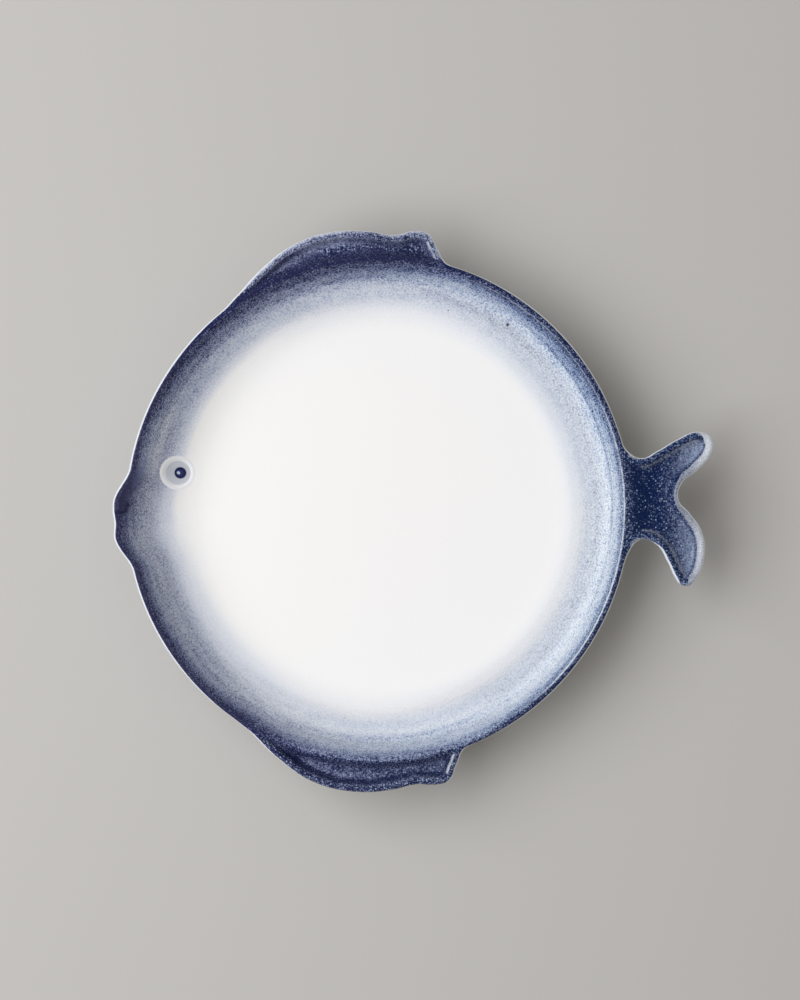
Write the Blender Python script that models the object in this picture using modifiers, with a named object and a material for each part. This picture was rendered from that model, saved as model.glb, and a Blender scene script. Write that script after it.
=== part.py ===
# A pasta plate in the form of a round fish: a deep round plate with a snout pulled out of its rim,
# two pocketed fins and a forked tail luted to the outside of the rim, a foot ring under the floor,
# and an eye made of a raised ring and a bead.
# Metres, +Z up. The head points to -X, the tail to +X, the back fin to +Y.

import math

import bmesh
import bpy
from mathutils import Vector

MM = 0.001

# Plate body, turned about the upright axis of its round rim
RIM_RADIUS = 113.4 * MM
PLATE_HEIGHT = 36.0 * MM
LIP_WIDTH = 3.4 * MM
WALL_LEAN = math.radians(18.0)          # how far the steep wall leans out from upright
WALL_DEPTH = 14.3 * MM                  # height of the steep wall, lip to crease
COVE_WIDTH = 25.5 * MM                  # curved floor between the flat well and the crease
COVE_END_SLOPE = math.radians(48.0)     # slope of the cove where it meets the steep wall
COVE_FLAT_PULL = 0.62                   # how long the cove stays flat, as a share of its width
COVE_WALL_PULL = 0.28                   # how long it keeps its end slope, as a share of its width
FLOOR_THICKNESS = 5.0 * MM

# Foot ring
FOOT_HEIGHT = 5.5 * MM                  # table to the underside of the floor
FOOT_SET_IN = 13.0 * MM                 # edge of the flat well to the outside of the foot
FOOT_WIDTH = 6.0 * MM
FOOT_TAPER = 1.2 * MM                   # each side of the foot draws in by this much at the table

# Clay slip between a luted piece and the plate
SLIP_SEAM = 0.3 * MM

# Snout, pulled out of the rim between two angles about the plate's axis
SNOUT_REACH = 5.9 * MM
SNOUT_START = 170.4                     # degrees, brow side
SNOUT_END = 194.2                       # degrees, chin side
SNOUT_EASE = 8.5                        # degrees over which the rim swings out
MOUTH_ANGLE = 183.0                     # degrees, the notch between the lips
MOUTH_NOTCH = 0.7 * MM
MOUTH_SPREAD = 1.8                      # degrees

# Fins and tail: dished pieces with a rounded lip round a pocket
FIN_LIP = 3.6 * MM
TAIL_LIP = 3.6 * MM
POCKET_DEPTH = 5.5 * MM
POCKET_FLOOR = 4.0 * MM                 # thickness under the pocket
POCKET_FILLET = 0.4 * MM
UNDER_ROUND = 3.2 * MM                  # rounding of the lower outer edge
LUTE_OVERLAP = 20.0 * MM                # blanks reach this far inside the rim before they are cut back
TAIL_ROOT_SPREAD = 0.8                  # width of the tail blank's hidden end, as a share of its root

# The most that each fin reaches past the rim, and its outline from tip to tail end: angle about the
# plate's axis in degrees, share of that reach
BACK_FIN_REACH = 12.6 * MM
BACK_FIN_OUTLINE = [
    (128.0, -0.17), (121.5, 0.20), (115.0, 0.55), (108.0, 0.87), (100.5, 1.0), (92.5, 0.91),
    (86.4, 0.78), (82.4, 0.99), (79.4, 0.95), (77.5, 0.58), (75.6, 0.16),
]
BELLY_FIN_REACH = 13.5 * MM
BELLY_FIN_OUTLINE = [
    (233.5, -0.16), (241.0, 0.15), (248.5, 0.53), (257.0, 0.90), (265.5, 1.0), (272.5, 0.92),
    (278.2, 0.81), (281.8, 0.93), (284.8, 0.89), (286.8, 0.53), (288.6, 0.14),
]

# Hidden end of a fin blank: place from the fin's rear end (0) to its tip (1), share of the overlap
FIN_ROOT = [(0.02, 0.5), (0.15, 1.0), (0.85, 1.0), (1.03, 0.55)]

# Tail outline in mm, anticlockwise: reach past the rim along +X, and side along +Y
TAIL_OUTLINE = [
    (-8.0, -31.0), (-2.2, -20.8), (4.5, -13.5), (11.2, -15.7), (16.3, -23.6), (19.6, -30.5),
    (21.8, -33.4), (25.6, -34.2), (28.9, -31.8), (32.9, -20.6), (31.7, -9.9), (26.2, -1.6), (21.2, 4.6),
    (22.8, 11.8), (30.4, 18.2), (36.2, 25.6), (36.0, 32.0), (30.4, 34.8), (19.8, 30.9),
    (11.4, 26.0), (4.5, 23.0), (-2.0, 26.6), (-8.0, 37.0),
]

# Eye on the floor of the plate
EYE_ANGLE = 170.1                       # degrees about the plate's axis
EYE_FROM_RIM = 20.0 * MM
EYE_DIAMETER = 15.7 * MM
EYE_RING_WIDTH = 2.5 * MM
EYE_RING_RISE = 1.1 * MM
PUPIL_DIAMETER = 5.3 * MM
PUPIL_RISE = 1.5 * MM
PUPIL_SHIFT = 1.2 * MM                  # the bead sits off the ring's centre, towards the tail

# Facets
BODY_STEPS = 120
FOOT_STEPS = 72
EYE_STEPS = 32
COVE_STEPS = 6
LIP_STEPS = 5
FIN_STEPS = 5                           # outline segments between two fin points
TAIL_STEPS = 4
DISH_STEPS = 4                          # segments round a fin's or the tail's lip
SETTLE_ROUNDS = 8                       # tries that undo the snout's pull under the eye
SHARP_ANGLE = math.radians(40.0)        # edges sharper than this are shaded as edges
MERGE = 0.001 * MM

# Lengths worked out from the sizes above
LIP_RADIUS = LIP_WIDTH / 2
LIP_CENTRE = Vector((RIM_RADIUS - LIP_RADIUS, PLATE_HEIGHT - LIP_RADIUS))
LEAN = Vector((math.cos(WALL_LEAN), -math.sin(WALL_LEAN)))
FLOOR_TOP = FOOT_HEIGHT + FLOOR_THICKNESS
WALL_TOP = LIP_CENTRE - LIP_RADIUS * LEAN
CREASE = WALL_TOP - WALL_DEPTH * Vector((math.tan(WALL_LEAN), 1.0))
WELL_RADIUS = CREASE.x - COVE_WIDTH
FOOT_RADIUS = WELL_RADIUS - FOOT_SET_IN
TAIL_REACH = max(reach for reach, side in TAIL_OUTLINE) * MM


# Small helpers

def smooth_step(low, high, value):
    share = min(max((value - low) / (high - low), 0.0), 1.0)
    return share * share * (3.0 - 2.0 * share)


def arc(centre, radius, start, end, steps):
    points = []
    for i in range(steps + 1):
        angle = start + (end - start) * i / steps
        points.append(centre + radius * Vector((math.cos(angle), math.sin(angle))))
    return points


def bezier(p0, p1, p2, p3, steps):
    points = []
    for i in range(steps + 1):
        t = i / steps
        s = 1.0 - t
        points.append(s * s * s * p0 + 3 * s * s * t * p1 + 3 * s * t * t * p2 + t * t * t * p3)
    return points


def left_normal(before, after):
    along = (after - before).normalized()
    return Vector((-along.y, along.x))


def grow(profile, amounts):
    # Move each point of an open profile to its left, square to the line, with mitred corners
    grown = []
    last = len(profile) - 1
    for i, point in enumerate(profile):
        first = left_normal(profile[max(i - 1, 0)], profile[max(i, 1)])
        second = left_normal(profile[min(i, last - 1)], profile[min(i + 1, last)])
        middle = (first + second).normalized()
        grown.append(point + middle * amounts[i] / middle.dot(first))
    return grown


def make_collection(name):
    collection = bpy.data.collections.new(name)
    bpy.context.scene.collection.children.link(collection)
    return collection


def make_material(name, colour, roughness):
    material = bpy.data.materials.new(name)
    material.use_nodes = True
    shader = material.node_tree.nodes["Principled BSDF"]
    shader.inputs["Base Color"].default_value = (*colour, 1.0)
    shader.inputs["Roughness"].default_value = roughness
    shader.inputs["Metallic"].default_value = 0.0
    return material


def place(name, mesh, collection, parent):
    obj = bpy.data.objects.new(name, mesh)
    collection.objects.link(obj)
    obj.parent = parent
    return obj


def finish(obj, material):
    obj.data.materials.clear()
    obj.data.materials.append(material)
    obj.data.shade_smooth()
    obj.data.set_sharp_from_angle(angle=SHARP_ANGLE)


def make_cutter(obj):
    obj.hide_render = True
    obj.display_type = "WIRE"


def freeze(obj):
    # Replace the object's mesh by what its modifiers make of it
    bpy.context.view_layer.update()
    evaluated = obj.evaluated_get(bpy.context.evaluated_depsgraph_get())
    mesh = bpy.data.meshes.new_from_object(evaluated)
    obj.modifiers.clear()
    obj.data = mesh


def cut(obj, cutter):
    boolean = obj.modifiers.new("cut by " + cutter.name, "BOOLEAN")
    boolean.operation = "DIFFERENCE"
    boolean.solver = "EXACT"
    boolean.object = cutter


def turn(name, profile, steps, collection, parent, closed=False):
    # A profile at +X, turned about Z by a Screw modifier
    mesh = bpy.data.meshes.new(name)
    points = [(p.x, 0.0, p.y) for p in profile]
    edges = [(i, i + 1) for i in range(len(points) - 1)]
    if closed:
        edges.append((len(points) - 1, 0))
    mesh.from_pydata(points, edges, [])
    obj = place(name, mesh, collection, parent)
    screw = obj.modifiers.new("turn", "SCREW")
    screw.axis = "Z"
    screw.angle = math.tau
    screw.steps = steps
    screw.render_steps = steps
    screw.use_merge_vertices = True
    screw.merge_threshold = MERGE
    return obj


# Plate body

def inside_profile():
    well = Vector((WELL_RADIUS, FLOOR_TOP))
    reach_out = well + Vector((COVE_FLAT_PULL * COVE_WIDTH, 0.0))
    end_slope = Vector((math.cos(COVE_END_SLOPE), math.sin(COVE_END_SLOPE)))
    reach_back = CREASE - COVE_WALL_PULL * COVE_WIDTH * end_slope
    cove = bezier(well, reach_out, reach_back, CREASE, COVE_STEPS)
    return [Vector((0.0, FLOOR_TOP)), *cove, WALL_TOP]


def lip_profile():
    return arc(LIP_CENTRE, LIP_RADIUS, math.pi - WALL_LEAN, -WALL_LEAN, LIP_STEPS)


def outside_profile():
    # The wall thins steadily from the floor to the lip
    inside = inside_profile()
    wall = []
    for point in inside:
        share = (point.y - FLOOR_TOP) / (WALL_TOP.y - FLOOR_TOP)
        wall.append(FLOOR_THICKNESS + (LIP_WIDTH - FLOOR_THICKNESS) * share)
    outside = grow(inside, [-thickness for thickness in wall])
    return outside[::-1]


def body_profile():
    return inside_profile()[:-1] + lip_profile() + outside_profile()[1:]


def plug_profile():
    # Everything inside the outer face of the plate, filled to above the lip
    crown = arc(LIP_CENTRE, LIP_RADIUS, math.pi / 2, -WALL_LEAN, LIP_STEPS)
    outer = crown + outside_profile()[1:]
    outer = grow(outer, [SLIP_SEAM] * len(outer))
    top = PLATE_HEIGHT + POCKET_DEPTH
    return [Vector((0.0, top)), Vector((outer[0].x, top)), *outer]


def snout_pull(angle):
    # How far the rim is pulled out at an angle about the axis, in degrees
    swing_out = smooth_step(SNOUT_START, SNOUT_START + SNOUT_EASE, angle)
    swing_in = 1.0 - smooth_step(SNOUT_END - SNOUT_EASE, SNOUT_END, angle)
    notch = math.exp(-((angle - MOUTH_ANGLE) / MOUTH_SPREAD) ** 2)
    return SNOUT_REACH * swing_out * swing_in - MOUTH_NOTCH * notch


def pull_snout(obj):
    # The pull fades out down the wall and is gone where the well is flat
    for vertex in obj.data.vertices:
        radius = math.hypot(vertex.co.x, vertex.co.y)
        if radius > WELL_RADIUS:
            angle = math.degrees(math.atan2(vertex.co.y, vertex.co.x)) % 360.0
            pull = snout_pull(angle) * smooth_step(WELL_RADIUS, CREASE.x, radius)
            vertex.co.x *= (radius + pull) / radius
            vertex.co.y *= (radius + pull) / radius


def turned_body(name, profile, collection, parent):
    obj = turn(name, profile, BODY_STEPS, collection, parent)
    freeze(obj)
    pull_snout(obj)
    return obj


def foot_profile():
    top = FOOT_HEIGHT - SLIP_SEAM
    outer = FOOT_RADIUS
    inner = FOOT_RADIUS - FOOT_WIDTH
    step = FOOT_TAPER / 2                   # the foot's lower corners are broken
    return [
        Vector((outer, top)),
        Vector((outer - step, 2 * step)),
        Vector((outer - FOOT_TAPER, 0.0)),
        Vector((inner + FOOT_TAPER, 0.0)),
        Vector((inner + step, 2 * step)),
        Vector((inner, top)),
    ]


# Fins and tail

def fin_points(outline, most):
    # The blank closes in a round loop inside the plate, where the plate's outer face cuts it back
    tip = outline[0][0]
    rear = outline[-1][0]
    shown = [(angle, share * most) for angle, share in outline]
    hidden = [(rear + (tip - rear) * share, -depth * LUTE_OVERLAP) for share, depth in FIN_ROOT]
    points = []
    for angle, reach in shown + hidden:
        radius = RIM_RADIUS + reach
        turned = math.radians(angle)
        points.append(Vector((radius * math.cos(turned), radius * math.sin(turned))))
    return points


def tail_points():
    points = [Vector((RIM_RADIUS + reach * MM, side * MM)) for reach, side in TAIL_OUTLINE]
    for end in (points[-1], points[0]):
        points.append(Vector((RIM_RADIUS - LUTE_OVERLAP, TAIL_ROOT_SPREAD * end.y)))
    return points


def outline_loop(name, points, steps):
    # A smooth closed curve through the points, evaluated to a ring of places
    curve = bpy.data.curves.new(name, "CURVE")
    curve.dimensions = "2D"
    curve.fill_mode = "NONE"
    curve.resolution_u = steps
    spline = curve.splines.new("BEZIER")
    spline.bezier_points.add(len(points) - 1)
    for knot, point in zip(spline.bezier_points, points):
        knot.co = (point.x, point.y, 0.0)
        knot.handle_left_type = "AUTO"
        knot.handle_right_type = "AUTO"
    spline.use_cyclic_u = True
    obj = bpy.data.objects.new(name, curve)
    bpy.context.scene.collection.objects.link(obj)
    bpy.context.view_layer.update()
    evaluated = obj.evaluated_get(bpy.context.evaluated_depsgraph_get())
    mesh = bpy.data.meshes.new_from_object(evaluated)
    ring = [vertex.co.copy() for vertex in mesh.vertices]
    bpy.data.objects.remove(obj)
    bpy.data.curves.remove(curve)
    bpy.data.meshes.remove(mesh)
    area = sum(a.x * b.y - b.x * a.y for a, b in zip(ring, ring[1:] + ring[:1]))
    return ring if area > 0 else ring[::-1]


def dish_section(lip):
    # Inset from the outline and height, from the outer edge over the lip and down into the pocket
    lip_round = lip / 2
    centre = Vector((lip_round, PLATE_HEIGHT - lip_round))
    section = arc(centre, lip_round, math.pi, 0.0, DISH_STEPS)
    pocket = PLATE_HEIGHT - POCKET_DEPTH
    section.append(Vector((lip + POCKET_FILLET / 2, pocket + POCKET_FILLET)))
    section.append(Vector((lip + POCKET_FILLET * 1.5, pocket)))
    return section


def under_section():
    # From the outer edge down and round to the underside
    bottom = PLATE_HEIGHT - POCKET_DEPTH - POCKET_FLOOR
    centre = Vector((UNDER_ROUND, bottom + UNDER_ROUND))
    return arc(centre, UNDER_ROUND, math.pi, 1.5 * math.pi, DISH_STEPS - 1)


def inset_along(bm, face, section, upward):
    # Step a flat face in and up, or in and down, along a section
    for before, after in zip(section, section[1:]):
        rise = after.y - before.y
        bmesh.ops.inset_region(
            bm, faces=[face], thickness=after.x - before.x,
            depth=rise if upward else -rise, use_even_offset=True, use_boundary=True)


def dished_piece(name, points, steps, lip, collection, parent):
    above = dish_section(lip)
    below = under_section()
    bm = bmesh.new()
    ring = outline_loop(name + "_outline", points, steps)
    lower = bm.faces.new([bm.verts.new((p.x, p.y, below[0].y)) for p in ring])
    lower.normal_update()
    raised = bmesh.ops.extrude_face_region(bm, geom=[lower], use_keep_orig=True)
    upper = [item for item in raised["geom"] if isinstance(item, bmesh.types.BMFace)][0]
    for vertex in upper.verts:
        vertex.co.z = above[0].y
    bmesh.ops.recalc_face_normals(bm, faces=bm.faces)
    inset_along(bm, upper, above, True)
    inset_along(bm, lower, below, False)
    mesh = bpy.data.meshes.new(name)
    bm.to_mesh(mesh)
    bm.free()
    return place(name, mesh, collection, parent)


# Eye

def floor_height(x, y):
    # Height of the plate's inner surface at a place, with the snout's pull undone
    pull = snout_pull(math.degrees(math.atan2(y, x)) % 360.0)
    reached = math.hypot(x, y)
    radius = reached
    for i in range(SETTLE_ROUNDS):
        radius = reached - pull * smooth_step(WELL_RADIUS, CREASE.x, radius)
    inside = inside_profile()
    for before, after in zip(inside, inside[1:]):
        if radius <= after.x:
            break
    return before.y + (radius - before.x) * (after.y - before.y) / (after.x - before.x)


def eye_ring_profile():
    half = EYE_RING_WIDTH / 2
    middle = EYE_DIAMETER / 2 - half
    angles = [math.pi * (1.0 - i / (2 * DISH_STEPS)) for i in range(2 * DISH_STEPS + 1)]
    return [Vector((middle + half * math.cos(a), EYE_RING_RISE * math.sin(a))) for a in angles]


def pupil_profile():
    half = PUPIL_DIAMETER / 2
    angles = [math.pi / 2 * i / (DISH_STEPS + 1) for i in range(DISH_STEPS + 2)]
    dome = [Vector((half * math.sin(a), PUPIL_RISE * math.cos(a))) for a in angles]
    return dome + [Vector((0.0, 0.0))]


def lay_on_floor(obj, shift):
    # Bend a turned piece to the curved floor at the eye, moved along +X by a shift
    turned = math.radians(EYE_ANGLE)
    radius = RIM_RADIUS - EYE_FROM_RIM
    obj.location = (radius * math.cos(turned) + shift, radius * math.sin(turned), 0.0)
    freeze(obj)
    for vertex in obj.data.vertices:
        x = obj.location.x + vertex.co.x
        y = obj.location.y + vertex.co.y
        vertex.co.z += floor_height(x, y) + SLIP_SEAM


# Build

for obj in list(bpy.data.objects):
    bpy.data.objects.remove(obj, do_unlink=True)

plate = make_collection("pasta_plate")
cutters = make_collection("cutters")

white_glaze = (0.86, 0.87, 0.87)
blue_glaze = (0.055, 0.075, 0.17)
bare_clay = (0.66, 0.58, 0.48)

# The origin is on the table under the middle of the plate's outline
axis = bpy.data.objects.new("rim_axis", None)
plate.objects.link(axis)
axis.location = ((SNOUT_REACH - TAIL_REACH) / 2, (BELLY_FIN_REACH - BACK_FIN_REACH) / 2, 0.0)

body = turned_body("plate_body", body_profile(), plate, axis)
plug = turned_body("inside_and_seam", plug_profile(), cutters, axis)
make_cutter(plug)
finish(body, make_material("body_glaze", white_glaze, 0.15))

dished = [
    ("back_fin", fin_points(BACK_FIN_OUTLINE, BACK_FIN_REACH), FIN_STEPS, FIN_LIP),
    ("belly_fin", fin_points(BELLY_FIN_OUTLINE, BELLY_FIN_REACH), FIN_STEPS, FIN_LIP),
    ("tail", tail_points(), TAIL_STEPS, TAIL_LIP),
]
for name, points, steps, lip in dished:
    piece = dished_piece(name, points, steps, lip, plate, axis)
    cut(piece, plug)
    finish(piece, make_material(name + "_glaze", blue_glaze, 0.18))

foot = turn("foot_ring", foot_profile(), FOOT_STEPS, plate, axis, closed=True)
finish(foot, make_material("foot_clay", bare_clay, 0.75))

eye_ring = turn("eye_ring", eye_ring_profile(), EYE_STEPS, plate, axis, closed=True)
lay_on_floor(eye_ring, 0.0)
finish(eye_ring, make_material("eye_ring_glaze", white_glaze, 0.15))

pupil = turn("eye_pupil", pupil_profile(), EYE_STEPS, plate, axis)
lay_on_floor(pupil, PUPIL_SHIFT)
finish(pupil, make_material("eye_pupil_glaze", blue_glaze, 0.10))

bpy.context.view_layer.update()
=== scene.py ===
# Looks of a round fish-shaped pasta plate: one glazed plate with fins and tail, its eye and its foot ring
import math
from functools import partial

import bpy
import numpy as np
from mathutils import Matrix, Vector
from mathutils.geometry import delaunay_2d_cdt


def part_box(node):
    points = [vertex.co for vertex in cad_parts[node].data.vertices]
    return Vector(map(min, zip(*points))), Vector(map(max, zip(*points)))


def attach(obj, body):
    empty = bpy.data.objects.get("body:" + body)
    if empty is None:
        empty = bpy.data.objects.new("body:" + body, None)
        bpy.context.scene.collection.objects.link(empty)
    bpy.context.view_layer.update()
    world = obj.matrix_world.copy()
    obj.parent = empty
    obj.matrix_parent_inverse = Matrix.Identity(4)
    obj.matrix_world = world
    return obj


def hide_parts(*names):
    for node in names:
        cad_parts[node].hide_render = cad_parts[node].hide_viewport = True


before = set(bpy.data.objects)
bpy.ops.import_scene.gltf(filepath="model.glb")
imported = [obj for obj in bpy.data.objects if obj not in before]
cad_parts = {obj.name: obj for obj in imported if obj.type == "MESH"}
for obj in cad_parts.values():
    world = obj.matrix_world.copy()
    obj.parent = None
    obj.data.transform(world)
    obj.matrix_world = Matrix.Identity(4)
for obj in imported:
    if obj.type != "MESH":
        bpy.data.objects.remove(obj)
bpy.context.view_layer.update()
scene = bpy.context.scene
mm = 0.001
print("frame loaded with", len(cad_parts), "nodes")

# Everything below is worked out in mm about the upright axis of the round rim
bodyLow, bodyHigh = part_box("plate_body")
rimRadius = (bodyHigh.y - bodyLow.y) / 2 / mm
rimTop = bodyHigh.z / mm
rimAxis = Vector((bodyHigh.x / mm - rimRadius, (bodyHigh.y + bodyLow.y) / 2 / mm, 0.0))


# Small helpers

def smoothStep(low, high, value):
    share = np.clip((value - low) / (high - low), 0.0, 1.0)
    return share * share * (3.0 - 2.0 * share)


def softMin(first, second, blend):
    share = np.clip(0.5 + 0.5 * (second - first) / blend, 0.0, 1.0)
    return second + (first - second) * share - blend * share * (1.0 - share)


def between(first, second, share):
    return first + (second - first) * share


def onLine(points, at):
    return np.interp(at, *np.array(points).T)


def linearColour(hexText):
    channels = [int(hexText[i:i + 2], 16) / 255 for i in (1, 3, 5)]
    linear = [c / 12.92 if c <= 0.04045 else ((c + 0.055) / 1.055) ** 2.4 for c in channels]
    return (*linear, 1.0)


def circle(radius, turn):
    return np.column_stack((radius * np.cos(turn), radius * np.sin(turn)))


def addNode(tree, kind, inputs, **settings):
    node = tree.nodes.new("ShaderNode" + kind)
    for name, value in settings.items():
        setattr(node, name, value)
    for socket, value in inputs.items():
        if isinstance(value, bpy.types.Node):
            value = value.outputs[0]
        if isinstance(value, bpy.types.NodeSocket):
            tree.links.new(value, node.inputs[socket])
        else:
            node.inputs[socket].default_value = value
    return node


def fillRamp(node, stops):
    elements = node.color_ramp.elements
    while len(elements) < len(stops):
        elements.new(1.0)
    for element, (position, colour) in zip(elements, stops):
        element.position = position
        element.color = linearColour(colour)


def newMaterial(name):
    # A material, and the function that adds its nodes
    material = bpy.data.materials.new(name)
    material.use_nodes = True
    material.node_tree.nodes.clear()
    return material, partial(addNode, material.node_tree)


def newPiece(name, points, faces, material):
    mesh = bpy.data.meshes.new(name)
    mesh.from_pydata([tuple(p) for p in points], [], [tuple(f) for f in faces])
    mesh.materials.append(material)
    mesh.shade_smooth()
    mesh.validate()
    piece = bpy.data.objects.new(name, mesh)
    scene.collection.objects.link(piece)
    piece.location = rimAxis * mm
    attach(piece, "root")
    return piece


# Plate form

plateForm = {
    "lipRound": 1.7,  # mm, half the width of the rolled lip
    "wallLean": 18.0,  # degrees off upright
    "wallDepth": 14.3,  # mm, lip to crease
    "coveWidth": 25.5,  # mm, flat well to crease
    "coveEndSlope": 48.0,  # degrees at the crease
    "coveFlatPull": 0.62,
    "coveWallPull": 0.28,
    "floorThick": 5.0,
    "footHeight": 5.5,
    "outOfRound": 0.5,  # mm, how far firing has pulled the rim off a true circle
    "outOfRoundAngle": 65.0,  # degrees, where it bulges
    "snoutReach": 5.9,
    "snoutStart": 170.4,
    "snoutEnd": 194.2,
    "snoutEase": 8.5,
    "mouthAngle": 183.0,
    "mouthNotch": 0.7,
    "mouthSpread": 1.8,
    "mouthFold": [  # mm from the axis, the crease between the lips
        (-117.8, -1.7), (-113.6, -1), (-112.9, 2.8),
    ],
    "foldDeep": 0.6,
    "foldWide": 0.75,
    "foldEase": 1.2,  # mm in from the outline, where it is full depth
}
lipRound = plateForm["lipRound"]
crown = rimRadius - lipRound  # radius of the top of the lip
lean = math.radians(plateForm["wallLean"])
lipCentre = np.array((crown, rimTop - lipRound))
leanOut = np.array((math.cos(lean), -math.sin(lean)))
wallTop = lipCentre - lipRound * leanOut
crease = wallTop - plateForm["wallDepth"] * np.array((math.tan(lean), 1.0))
wellRadius = crease[0] - plateForm["coveWidth"]
floorTop = plateForm["footHeight"] + plateForm["floorThick"]
edgeHeight = rimTop - lipRound  # where the upper and lower surfaces meet


def insideProfile(steps=80):
    slope = math.radians(plateForm["coveEndSlope"])
    width = plateForm["coveWidth"]
    start = np.array((wellRadius, floorTop))
    reachOut = start + np.array((plateForm["coveFlatPull"] * width, 0.0))
    reachBack = crease - plateForm["coveWallPull"] * width * np.array((math.cos(slope), math.sin(slope)))
    t = np.linspace(0.0, 1.0, steps)[:, None]
    s = 1.0 - t
    cove = s**3 * start + 3 * s * s * t * reachOut + 3 * s * t * t * reachBack + t**3 * crease
    wall = crease + np.linspace(0.0, 1.0, steps)[1:, None] * (wallTop - crease)
    return np.vstack(([(0.0, floorTop)], cove, wall))


def lipProfile(start, end, steps=24):
    turns = np.radians(np.linspace(start, end, steps))
    return lipCentre + circle(lipRound, turns)


inside = insideProfile()
along = np.gradient(inside, axis=0)
along /= np.linalg.norm(along, axis=1)[:, None]
thinning = (inside[:, 1] - floorTop) / (wallTop[1] - floorTop)
thick = plateForm["floorThick"] + (2 * lipRound - plateForm["floorThick"]) * thinning
outside = inside + np.column_stack((along[:, 1], -along[:, 0])) * thick[:, None]
upperLine = np.vstack((inside[:-1], lipProfile(180.0 - plateForm["wallLean"], 90.0)))
lowerLine = np.vstack((outside[:-1], lipProfile(-plateForm["wallLean"], 0.0)))


def rimSwing(angle):
    # How far the rim stands off its circle at an angle in degrees: the snout, its mouth, and firing
    form = plateForm
    swing = smoothStep(form["snoutStart"], form["snoutStart"] + form["snoutEase"], angle)
    swing = swing * (1.0 - smoothStep(form["snoutEnd"] - form["snoutEase"], form["snoutEnd"], angle))
    notch = np.exp(-((angle - form["mouthAngle"]) / form["mouthSpread"]) ** 2)
    oval = np.cos(2 * np.radians(angle - form["outOfRoundAngle"]))
    return form["snoutReach"] * swing - form["mouthNotch"] * notch + form["outOfRound"] * oval


def polar(places):
    return np.hypot(*places.T), np.degrees(np.arctan2(places[:, 1], places[:, 0])) % 360.0


def levelRadius(places, rounds=10):
    # The radius that a place would have in a plate without a snout
    reached, angle = polar(places)
    swing = rimSwing(angle)
    radius = reached.copy()
    for settle in range(rounds):
        radius = reached - swing * smoothStep(wellRadius, crease[0], radius)
    return radius


# Fins and tail, each a closed loop whose inner end is hidden in the plate

finForm = {
    "backReach": 12.6,
    "back": [  # degrees about the axis, share of the reach past the rim
        (128, -0.17), (121.5, 0.2), (115, 0.55), (108, 0.87), (100.5, 1), (92.5, 0.91),
        (86.4, 0.78), (82.4, 0.99), (79.4, 0.95), (77.5, 0.58), (75.6, 0.16),
    ],
    "bellyReach": 13.5,
    "belly": [
        (233.5, -0.16), (241, 0.15), (248.5, 0.53), (257, 0.9), (265.5, 1), (272.5, 0.92),
        (278.2, 0.81), (281.8, 0.93), (284.8, 0.89), (286.8, 0.53), (288.6, 0.14),
    ],
    "root": [(0.02, 0.5), (0.15, 1.0), (0.85, 1.0), (1.03, 0.55)],  # share of the way back, of the depth
    "tail": [  # mm past the rim along +X, mm along +Y
        (-8, -31), (-2.2, -20.8), (4.5, -13.5), (11.2, -15.7), (16.3, -23.6), (19.6, -30.5),
        (21.8, -33.4), (25.6, -34.2), (28.9, -31.8), (32.9, -20.6), (31.7, -9.9), (26.2, -1.6),
        (21.2, 4.6), (22.8, 11.8), (30.4, 18.2), (36.2, 25.6), (36, 32), (30.4, 34.8),
        (19.8, 30.9), (11.4, 26), (4.5, 23), (-2, 26.6), (-8, 37),
    ],
    "rootDepth": 20.0,  # mm that the hidden end reaches inside the rim
    "tailRootSpread": 0.8,
    "pocketDepth": 4.6,
    "tailDepth": 3.8,
    "tailSlope": 15.0,  # mm over which the tail's floor sinks from the rim
    "lipSteep": 2.0,  # slope inside a fin's lip
    "tailLipSteep": 1.1,
    "underDepth": 9.5,  # mm from the lip's top to the underside
    "underRound": 4.2,
    "underFade": 10.0,  # mm that the underside climbs beside a fin, to run out into the wall
    "underSquare": 2.6,  # power of the curve that rounds the underside
    "underJoin": (-5.0, 0.8),  # mm inside a fin's loop, where its underside takes over
    "underPast": (0.0, 1.5),  # mm past the rim, where it also does
    "underBlend": (0.05, 2.0),  # mm over which the two merge, at the outline and more inside it
    "underInside": 3.0,  # mm in from the outline
    "tailJoin": (-1.0, 2.0),  # mm inside the tail's loop, where its own slopes take over
    "rimRound": 2.4,  # mm, how the rim rolls down to a fin's floor
    "rimSteep": 1.7,
    "lipBlend": 1.0,  # mm over which two slopes merge
    "floorBlend": 1.2,  # mm over which they merge with the floor, twice that in the tail
}


def smoothLoop(points, steps=24):
    curve = bpy.data.curves.new("loop", "CURVE")
    curve.dimensions = "2D"
    curve.fill_mode = "NONE"
    curve.resolution_u = steps
    spline = curve.splines.new("BEZIER")
    spline.bezier_points.add(len(points) - 1)
    for knot, point in zip(spline.bezier_points, points):
        knot.co = (*point, 0.0)
        knot.handle_left_type = knot.handle_right_type = "AUTO"
    spline.use_cyclic_u = True
    holder = bpy.data.objects.new("loop", curve)
    scene.collection.objects.link(holder)
    bpy.context.view_layer.update()
    mesh = bpy.data.meshes.new_from_object(holder.evaluated_get(bpy.context.evaluated_depsgraph_get()))
    ring = np.array([vertex.co[:2] for vertex in mesh.vertices])
    bpy.data.objects.remove(holder)
    bpy.data.curves.remove(curve)
    bpy.data.meshes.remove(mesh)
    after = np.roll(ring, -1, axis=0)
    area = np.sum(ring[:, 0] * after[:, 1] - after[:, 0] * ring[:, 1])
    return ring if area > 0 else ring[::-1]


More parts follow.
